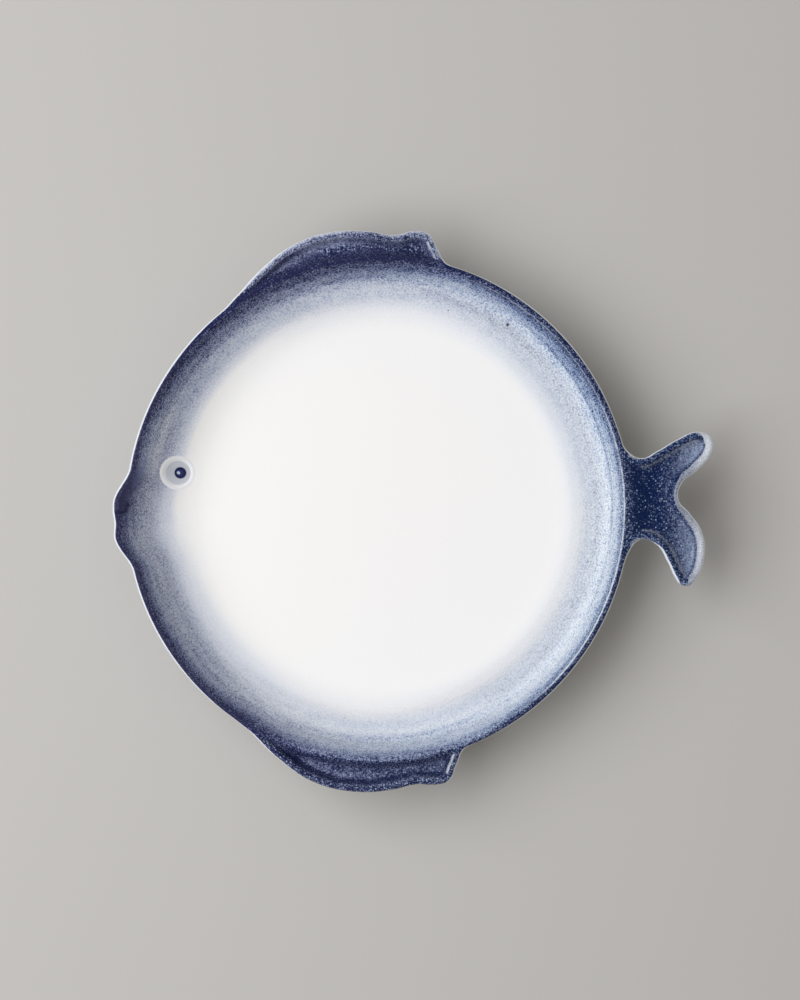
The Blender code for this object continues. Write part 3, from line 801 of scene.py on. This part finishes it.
def reactiveGlaze():
    # Stoneware dipped in white glaze and sprayed with cobalt from the rim, then fired: white grains float
    # up through the blue and leave the wall dry and matte, the glaze draws off sharp edges and leaves them
    # white, with painted highlights and painted light laid into the same white, and it is glossy where it
    # pooled deep blue and in the well
    form = glazeForm
    material, add = newMaterial("stoneware_sprayed_reactive_glaze")
    place = add("TexCoord", {}).outputs["Object"]
    given = {}
    for name in ("cobalt", "whiteBreakAndPaintedLight", "grain", "fleck", "dry", "haze"):
        given[name] = add("Attribute", {}, attribute_name=name).outputs["Fac"]

    # Round the rim without a seam: the direction carries the way along, the radius the way across
    level = add("VectorMath", {0: place, 1: (1.0, 1.0, 0.0)}, operation="MULTIPLY")
    radial = add("VectorMath", {0: level}, operation="LENGTH").outputs["Value"]
    heading = add("VectorMath", {0: level}, operation="NORMALIZE")
    sweep = add("VectorMath", {0: heading, "Scale": rimRadius / form["streakLong"]}, operation="SCALE")
    across = add("Math", {0: radial, 1: 1 / (form["streakWide"] * mm)}, operation="MULTIPLY")
    across = add("CombineXYZ", {"Z": across})
    swept = add("VectorMath", {0: sweep, 1: across}, operation="ADD")

    fine = add("TexNoise", {"Vector": place, "Scale": 1 / (form["fineGrain"] * mm), "Detail": 1.0})
    noises = {
        "grain": add("TexVoronoi", {"Vector": place, "Scale": 1 / (form["grain"] * mm)}),
        "fine": fine,
        "streak": add("TexNoise", {"Vector": swept, "Scale": 1.0, "Detail": 2.0}),
        "blotch": add("TexNoise", {"Vector": place, "Scale": 1 / (form["blotch"] * mm), "Detail": 2.0}),
    }

    # White grains push the blue aside, most of all on the wall
    mixed = None
    for name, (middle, amount) in form["pushes"].items():
        swing = add("Math", {0: noises[name], 1: middle}, operation="SUBTRACT")
        swing = add("Math", {0: swing, 1: amount}, operation="MULTIPLY")
        mixed = add("Math", {0: mixed, 1: swing}, operation="ADD") if mixed else swing
    share = add("Math", {
        0: mixed, 1: given["grain"], 2: given["cobalt"]}, operation="MULTIPLY_ADD", use_clamp=True)
    blue = add("ValToRGB", {"Fac": share})
    fillRamp(blue, form["stops"])

    vivid = add("Math", {0: 1.0, 1: given["haze"]}, operation="SUBTRACT")
    side = math.radians(form["violetSide"])
    violet = add("VectorMath", {
        0: heading, 1: (math.cos(side), math.sin(side), 0.0)}, operation="DOT_PRODUCT").outputs["Value"]
    hue = add("Math", {
        0: violet, 1: form["violetBy"], 2: 0.5 + form["violetAll"]}, operation="MULTIPLY_ADD")
    blue = add("HueSaturation", {"Color": blue, "Saturation": vivid, "Hue": hue})

    # Pale flecks in the deep blue: the attribute says what share of the cells holds one
    cells = add("TexVoronoi", {"Vector": place, "Scale": 1 / (form["fleckApart"] * mm)})
    dot = add("MapRange", {
        "Value": cells.outputs["Distance"], "From Min": 0.15, "From Max": 0.46,
        "To Min": 1.0, "To Max": 0.0})
    pick = add("SeparateColor", {"Color": cells.outputs["Color"]})
    kept = add("Math", {0: pick, 1: given["fleck"]}, operation="ADD")
    kept = add("MapRange", {"Value": kept, "From Min": 1.0, "From Max": 1.5})
    fleck = add("Math", {0: dot, 1: kept}, operation="MULTIPLY")
    colour = add("Mix", {
        0: fleck, 6: blue, 7: linearColour(form["fleckColour"])}, data_type="RGBA").outputs[2]
    for x, y, wide in form["ironSpecks"]:
        off = add("VectorMath", {0: level, 1: (x * mm, y * mm, 0.0)}, operation="DISTANCE")
        iron = add("MapRange", {
            "Value": off.outputs["Value"], "From Min": 0.3 * wide * mm, "From Max": 0.6 * wide * mm,
            "To Min": 0.95, "To Max": 0.0})
        colour = add("Mix", {
            0: iron, 6: colour, 7: linearColour(form["ironColour"])}, data_type="RGBA").outputs[2]

    # White where the glaze drew off an edge, and the painted highlights and painted light carried in the
    # same attribute
    ragged = add("Math", {0: fine, 1: 0.5, 2: given["whiteBreakAndPaintedLight"]}, operation="MULTIPLY_ADD")
    whiteShare = add("MapRange", {"Value": ragged, "From Min": 0.55, "From Max": 0.95})
    colour = add("Mix", {
        0: whiteShare, 6: colour, 7: linearColour(form["breakColour"])}, data_type="RGBA").outputs[2]

    peel = add("TexNoise", {"Vector": place, "Scale": 1 / (form["peel"] * mm), "Detail": 1.0})
    gloss = add("MapRange", {"Value": given["dry"], "To Min": 0.15, "To Max": 0.92})
    relief = add("Bump", {"Height": peel, "Strength": 0.25, "Distance": 0.06 * mm})
    shader = add("BsdfPrincipled", {
        "Base Color": colour, "Roughness": gloss, "Normal": relief, "IOR": 1.48})
    add("OutputMaterial", {"Surface": shader})
    return material


def aroundShare(angle, centre, half, ease):
    off = np.abs((angle - centre + 180.0) % 360.0 - 180.0)
    return 1.0 - smoothStep(half - ease / 2, half + ease / 2, off)


def zone(name, value):
    return smoothStep(*glazeForm["zones"][name], value)


def addPasses(cobalt, passes, angle, gap):
    for sector, adds in passes.values():
        cobalt = cobalt + aroundShare(angle, *sector) * onLine(adds, gap)
    return cobalt


def edgeFacing(reach=6.5, chunk=2000):
    # Which way the nearest stretch of the outline faces, for places within reach of it
    facing = np.zeros((len(places), 2))
    close = np.flatnonzero(edgeGap < reach)
    for part in np.array_split(close, len(close) // chunk + 1):
        off = places[part][:, None, :] - outline[None]
        facing[part] = facings[np.argmin(np.sum(off * off, axis=2), axis=1)]
    return facing


def bump(value, centre, width):
    return np.exp(-((value - centre) / width) ** 2)


def glazeShares():
    # What the glaze does at each place on the upper surface
    form = glazeForm
    gap = rimRadius - level
    angle = polar(places)[1]
    towardTail, towardBack = edgeFacing().T
    sector = {name: aroundShare(angle, *limits) for name, limits in form["sectors"].items()}
    less = form["grainLess"]
    cobalt = addPasses(onLine(form["run"], gap), form["passes"], angle, gap)
    cobalt = cobalt + form["foldCobalt"] * mouthFold(places)
    plain = np.maximum(sector["back"], sector["head"]) * zone("plain", gap)
    upperLip = sector["upperLip"] * zone("upperLip", gap)
    grain = onLine(form["grainRun"], gap) * (1.0 - less["belly"] * sector["belly"])
    grain = grain * (1.0 - less["upperLip"] * upperLip) * (1.0 - less["plain"] * plain)
    fewer = form["fleckLess"]
    fewer = np.maximum(fewer["back"] * sector["back"], fewer["head"] * sector["head"])
    fleck = form["fleck"] + form["rimFleck"] * zone("rimFleck", gap) * (1.0 - fewer)
    dry = zone("dry", gap) * (1.0 - form["wellDry"] * zone("wellDry", gap))
    haze = np.zeros(len(places))
    for least, more, limits, spans in form["hazes"]:
        share = least + more * aroundShare(angle, *limits)
        for span in spans:
            share = share * smoothStep(*span, gap)
        haze = np.maximum(haze, share)
    haze = haze - form["clearWall"] * zone("clearFrom", gap) * zone("clearTo", gap) * sector["clearWall"]

    # Fins: a speckled lip, a dark crease inside it, a hazy pocket and a dark slope up to the rim
    isBack = places[:, 1] > 0.0
    past = places[:, 0] - rimRadius
    onFin = zone("fin", gap)
    onTail = zone("tail", tailGap) * onFin
    towardTip = zone("tip", past) * zone("tailFloor", edgeGap)
    lip = zone("lip", edgeGap)
    pocket = zone("pocket", edgeGap) * zone("pocketFloor", gap)
    ofFins = np.where(isBack, onLine(form["backFin"], edgeGap), onLine(form["bellyFin"], edgeGap))
    ofFins = addPasses(ofFins, form["finPasses"], angle, edgeGap)
    ofFins = between(ofFins, form["slopeCobalt"], zone("finSlope", gap))
    # Painted reflection: a paler, greyer band along the inner edge of the tail's lip, where it faces the
    # head
    paintedSheen = bump(edgeGap, *form["paintedSheenAt"]) * zone("paintedSheenFacing", towardTail)
    ofTail = onLine(form["tailFin"], edgeGap) + form["tipCobalt"] * towardTip + form["tailPaintedSheen"] * paintedSheen
    flecks = form["finFleck"]
    finFleck = flecks["floor"] + flecks["lip"] * lip
    finFleck = finFleck + np.where(isBack, flecks["backPocket"], flecks["bellyPocket"]) * pocket
    flecks = form["tailFleck"]
    tailFleck = flecks["floor"] + flecks["lip"] * lip - form["fleckLess"]["tip"] * towardTip
    finGrain = form["finGrain"] * (1.0 + form["lipGrain"] * lip) * (1.0 - less["tip"] * towardTip)
    hazes = form["finHaze"]
    finHaze = hazes["all"] + hazes["backLip"] * zone("backLip", edgeGap) * zone("backSide", places[:, 1])
    tailHaze = np.maximum(hazes["tip"] * towardTip, hazes["paintedSheen"] * paintedSheen)
    cobalt = between(cobalt, between(ofFins, ofTail, onTail), onFin)
    fleck = between(fleck, between(finFleck, tailFleck, onTail), onFin)
    grain = between(grain, finGrain, onFin)
    dry = between(dry, form["finDry"], onFin)
    haze = between(haze, between(finHaze, tailHaze, onTail), onFin)

    # The pool inside the eye's ring
    ringInside = eyeForm["across"] / 2 - np.array(eyeForm["discEdge"])
    disc = smoothStep(*ringInside, np.linalg.norm(places - eyeCentre, axis=1))
    cobalt = between(cobalt, eyeForm["discCobalt"], disc)
    grain = grain * (1.0 - less["disc"] * disc)
    haze = between(haze, form["discHaze"], disc)

    # Edges that the glaze has pulled off, partly painted light on the edges facing the head, and a painted
    # highlight inside the fins' hooks
    # Wider white facing the head: partly painted light on the lit edge
    wide = form["leastEdge"] + form["headEdgeAndPaintedLight"] * zone("headFacing", towardTail)
    wide = wide + form["tailEdge"] * zone("tailFacing", towardTail)
    wide = wide + form["backEdge"] * zone("backFacing", towardBack)
    white = [1.0 - smoothStep(*form["edgeFade"], edgeGap / wide)]
    least, more, byTips = form["forkBand"]
    band = least + (more + byTips * zone("forkWide", past)) * zone("forkFacing", towardTail)
    faint, ended = form["forkWhite"]
    fork = smoothStep(band + form["forkSoft"], band - form["forkSoft"], edgeGap)
    white.append(onTail * (faint + ended * zone("tipWhite", past)) * fork)
    shoulder = 0.0
    for amount, middle, width, limits in form["shoulders"]:
        shoulder = shoulder + amount * bump(gap, middle, width) * aroundShare(angle, *limits)
    white.append(shoulder)
    # Painted highlight: a white streak inside each fin's hook, on the wall that faces the head
    amount, middle, width = form["paintedHookHighlight"]
    white.append(amount * bump(edgeGap, middle, width) * zone("paintedHighlightFacing", towardTail) * (onFin - onTail))
    white.append(form["lipLineWhite"] * nearLine(places, form["lipLine"], form["lipLineWide"]))
    white = np.max(white, axis=0)
    return {"cobalt": cobalt, "grain": grain, "fleck": fleck, "dry": dry, "haze": haze, "whiteBreakAndPaintedLight": white}


def underShares():
    # Underneath, white glaze with a breath of overspray from the rim
    oversprayed = zone("overspray", edgeGap)
    return {
        "cobalt": glazeForm["overspray"]["cobalt"] * oversprayed,
        "grain": glazeForm["overspray"]["grain"] * oversprayed,
        "fleck": np.zeros(len(places)),
        "dry": np.full(len(places), glazeForm["underDry"]),
        "haze": np.zeros(len(places)),
        "whiteBreakAndPaintedLight": zone("underEdge", edgeGap),
    }


def buildPlate():
    count = len(places)
    below = np.flatnonzero(~onEdge)  # the outline's points are shared by both sides
    renumber = np.arange(count)
    renumber[below] = count + np.arange(len(below))
    points = np.vstack((np.column_stack((places, top)), np.column_stack((places[below], under[below]))))
    skins = np.vstack((faces, renumber[faces[:, ::-1]]))
    piece = newPiece("glazed_plate", points * mm, skins, reactiveGlaze())
    underGlaze = underShares()
    for name, shares in glazeShares().items():
        values = np.concatenate((shares, underGlaze[name][below]))
        attribute = piece.data.attributes.new(name, "FLOAT", "POINT")
        attribute.data.foreach_set("value", values.astype(np.float32))
    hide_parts("plate_body", "back_fin", "belly_fin", "tail")


buildPlate()
print("plate built")


# Foot ring

def bareClay():
    # Fired stoneware wiped clean of glaze: dry, buff, finely gritty
    return twoTone("stoneware_bare_fired_clay", footForm["grit"], 3.0, ("#d9cbb6", "#c2b199"),
                   {"Roughness": 0.82}, footForm["gritDeep"])


footLow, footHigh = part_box("foot_ring")
footForm = {
    "outer": (footHigh.x - footLow.x) / 2 / mm,
    "width": 6.0,
    "taper": 1.2,
    "round": 0.7,
    "bed": 0.4,  # mm bedded in the underside
    "flare": (0.6, 0.8),  # mm wider at the top, over so many mm of height
    "grit": 0.5,  # mm
    "gritDeep": 0.08,  # mm
    "cornerSteps": 7,
    "steps": 192,
}


def buildFoot():
    form = footForm
    high = plateForm["footHeight"] + form["bed"]
    outer, inner = form["outer"], form["outer"] - form["width"]
    corner = np.radians(np.linspace(0.0, 90.0, form["cornerSteps"]))
    bend = form["round"]
    flare, over = form["flare"]
    profile = [(inner - flare, high), (inner, high - over)]
    low = inner + form["taper"]
    profile += [(low + bend - bend * math.cos(a), bend - bend * math.sin(a)) for a in corner]
    low = outer - form["taper"]
    profile += [(low - bend + bend * math.sin(a), bend - bend * math.cos(a)) for a in corner]
    profile += [(outer, high - over), (outer + flare, high)]
    steps = form["steps"]
    turn = np.arange(steps) * math.tau / steps
    points = np.vstack([np.column_stack((circle(r, turn), np.full(steps, z))) for r, z in profile])
    skins = []
    for row in range(len(profile)):
        a, b = row * steps, (row + 1) % len(profile) * steps
        skins += [(a + i, b + i, b + (i + 1) % steps, a + (i + 1) % steps) for i in range(steps)]
    piece = newPiece("foot_ring_wiped", points * mm, skins, bareClay())
    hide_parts("foot_ring")


buildFoot()
print("foot turned")


# Floor, light and camera

stageForm = {
    "floorColour": "#b9b8b5",
    "floorSize": 6.0,  # m
    "sky": [  # from the horizon to straight up, where the camera hangs
        (0, "#67615b"), (0.8, "#fefaf5"), (0.93, "#fefaf5"), (1, "#4c4946"),
    ],
    "skyStrength": 0.575,
    "skyMirrored": (0.24, 0.04),  # as dim as a room looks in the glaze, low down and overhead
}
lightForms = {
    "key": {"size": (1.6, 1.2), "distance": 1.45, "heading": 173.0, "height": 53.0, "power": 22.4,
            "colour": "#fcfcff", "shines": True, "mirrored": False},
    "glint": {"size": (0.45, 0.30), "distance": 1.45, "heading": 173.0, "height": 40.0, "power": 1.4,
              "colour": "#ffffff", "shines": False, "mirrored": True},
}


def buildFloor():
    material, add = newMaterial("plain_pale_floor")
    shader = add("BsdfPrincipled", {
        "Base Color": linearColour(stageForm["floorColour"]), "Roughness": 0.85})
    add("OutputMaterial", {"Surface": shader})
    half = stageForm["floorSize"] / 2
    corners = [(-half, -half, 0.0), (half, -half, 0.0), (half, half, 0.0), (-half, half, 0.0)]
    mesh = bpy.data.meshes.new("floor")
    mesh.from_pydata(corners, [], [(0, 1, 2, 3)])
    mesh.materials.append(material)
    floor = bpy.data.objects.new("floor", mesh)
    scene.collection.objects.link(floor)


def buildLight(name, form):
    light = bpy.data.lights.new(name, "AREA")
    light.shape = "RECTANGLE"
    light.size, light.size_y = form["size"]
    light.energy = form["power"]
    light.color = linearColour(form["colour"])[:3]
    lamp = bpy.data.objects.new(name, light)
    heading, height = math.radians(form["heading"]), math.radians(form["height"])
    outward = math.cos(height)
    away = Vector((math.cos(heading) * outward, math.sin(heading) * outward, math.sin(height)))
    lamp.location = away * form["distance"]
    lamp.rotation_euler = away.to_track_quat("Z", "Y").to_euler()
    lamp.visible_diffuse = form["shines"]
    lamp.visible_glossy = form["mirrored"]
    scene.collection.objects.link(lamp)


def buildSky():
    world = bpy.data.worlds.new("soft_room")
    world.use_nodes = True
    tree = world.node_tree
    add = partial(addNode, tree)
    place = add("TexCoord", {}).outputs["Generated"]
    height = add("SeparateXYZ", {0: place}).outputs["Z"]
    tint = add("ValToRGB", {"Fac": height})
    fillRamp(tint, stageForm["sky"])
    low, overhead = stageForm["skyMirrored"]
    room = add("MapRange", {
        "Value": height, "From Min": 0.45, "From Max": 0.7, "To Min": low, "To Max": overhead})
    mirrored = add("LightPath", {}).outputs["Is Glossy Ray"]
    strength = add("MapRange", {"Value": mirrored, "To Min": stageForm["skyStrength"], "To Max": room})
    background = tree.nodes["Background"]
    tree.links.new(strength.outputs[0], background.inputs["Strength"])
    tree.links.new(tint.outputs["Color"], background.inputs["Color"])
    scene.world = world


buildFloor()
for name, form in lightForms.items():
    buildLight(name, form)
buildSky()
scene.view_settings.view_transform = "Standard"

cameraForm = {
    "frame": (800, 1000),  # pixels
    "axisPixel": (378.05, 509.46),  # where the rim's axis is in the frame
    "scale": 0.447,  # mm a pixel at the rim
    "height": 1150.0,  # mm above the rim
}


def buildCamera():
    form = cameraForm
    width, tall = form["frame"]
    across = (width / 2 - form["axisPixel"][0]) * form["scale"]
    along = (form["axisPixel"][1] - tall / 2) * form["scale"]
    lens = bpy.data.cameras.new("camera")
    lens.sensor_fit = "VERTICAL"
    lens.lens = lens.sensor_height * form["height"] / (tall * form["scale"])
    camera = bpy.data.objects.new("camera", lens)
    camera.location = (rimAxis + Vector((across, along, rimTop + form["height"]))) * mm
    scene.collection.objects.link(camera)
    scene.camera = camera


buildCamera()
print("stage and camera set")
